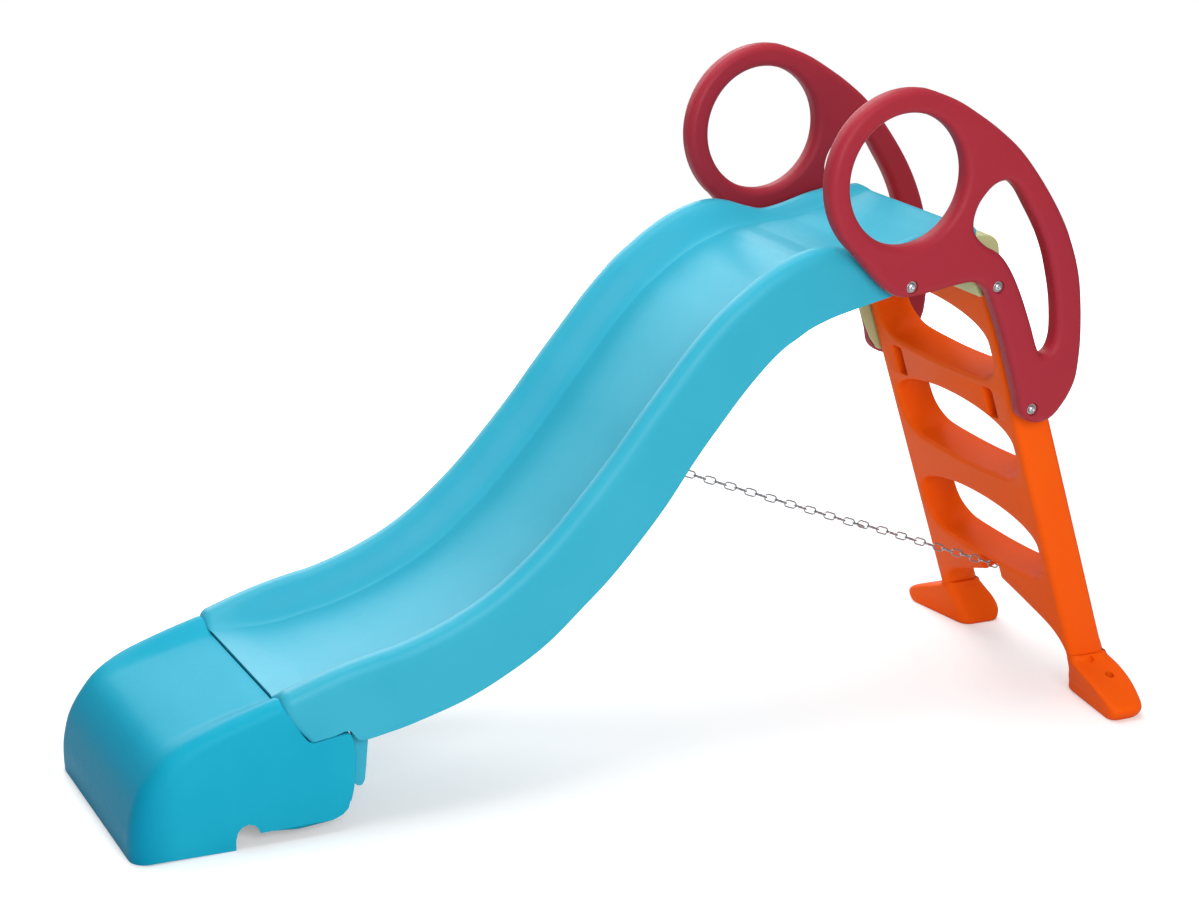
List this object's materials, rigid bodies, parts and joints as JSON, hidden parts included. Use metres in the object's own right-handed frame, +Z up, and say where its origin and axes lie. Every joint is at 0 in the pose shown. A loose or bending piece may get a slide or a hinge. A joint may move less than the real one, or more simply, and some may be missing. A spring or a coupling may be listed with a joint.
{
  "type": "kids slide",
  "caption": "Folding plastic kids slide: curved chute with an end module, hinged at its platform to a ladder with ringed handrails, spread feet and a stay chain.",
  "frame": {"origin": "on the ground under the middle of the slide's box", "axes": "+X from the end module to the ladder, +Y across the slide, +Z up"},
  "size_m": [2.0538, 0.756, 1.262],
  "materials": {
    "chute_blue": "satin moulded plastic",
    "module_blue": "satin moulded plastic",
    "ladder_orange": "satin moulded plastic",
    "foot_orange": "satin moulded plastic",
    "rail_crimson": "satin moulded plastic",
    "bracket_green": "satin moulded plastic",
    "zinc_steel": "zinc plated",
    "chain_steel": "zinc plated"
  },
  "bodies": {
    "chute": {"slide_chute": "chute_blue", "end_module": "module_blue", "chain_eye": "zinc_steel", "module_screw_left": "zinc_steel", "module_screw_right": "zinc_steel", "pivot_bolt_left": "zinc_steel", "pivot_bolt_right": "zinc_steel", "pivot_nut_left": "zinc_steel", "pivot_nut_right": "zinc_steel", "pivot_washer_left": "zinc_steel", "pivot_washer_right": "zinc_steel", "pivot_spacer_left": "rail_crimson", "pivot_spacer_right": "rail_crimson"},
    "ladder": {"ladder": "ladder_orange", "top_bracket": "bracket_green", "chain_hook": "zinc_steel", "handrail_left": "rail_crimson", "handrail_right": "rail_crimson", "upper_bolt_left": "zinc_steel", "upper_bolt_right": "zinc_steel", "upper_washer_left": "zinc_steel", "upper_washer_right": "zinc_steel", "lower_bolt_left": "zinc_steel", "lower_bolt_right": "zinc_steel", "lower_washer_left": "zinc_steel", "lower_washer_right": "zinc_steel", "foot_left": "foot_orange", "foot_right": "foot_orange", "foot_screw_left": "zinc_steel", "foot_screw_right": "zinc_steel"},
    "chain_front": {"chain_front": "chain_steel"},
    "chain_rear": {"chain_rear": "chain_steel"}
  },
  "joints": [
    {"name": "ladder_fold", "type": "hinge", "parent": "chute", "child": "ladder", "pos_m": [0.436, 0, 0.9], "axis": [0, 1, 0], "range_deg": [0, 78]},
    {"name": "chain_front_swing", "type": "hinge", "parent": "chute", "child": "chain_front", "pos_m": [-0.04364, 0, 0.5675], "axis": [0, 1, 0], "range_deg": [0, 115]},
    {"name": "chain_rear_swing", "type": "hinge", "parent": "ladder", "child": "chain_rear", "pos_m": [0.87039, 0, 0.20969], "axis": [0, 1, 0], "range_deg": [-162, 0]}
  ],
  "couplings": [
    {"joint": "chain_front_swing", "follows": "ladder_fold", "ratio": 1.42},
    {"joint": "chain_rear_swing", "follows": "ladder_fold", "ratio": -2.03}
  ]
}
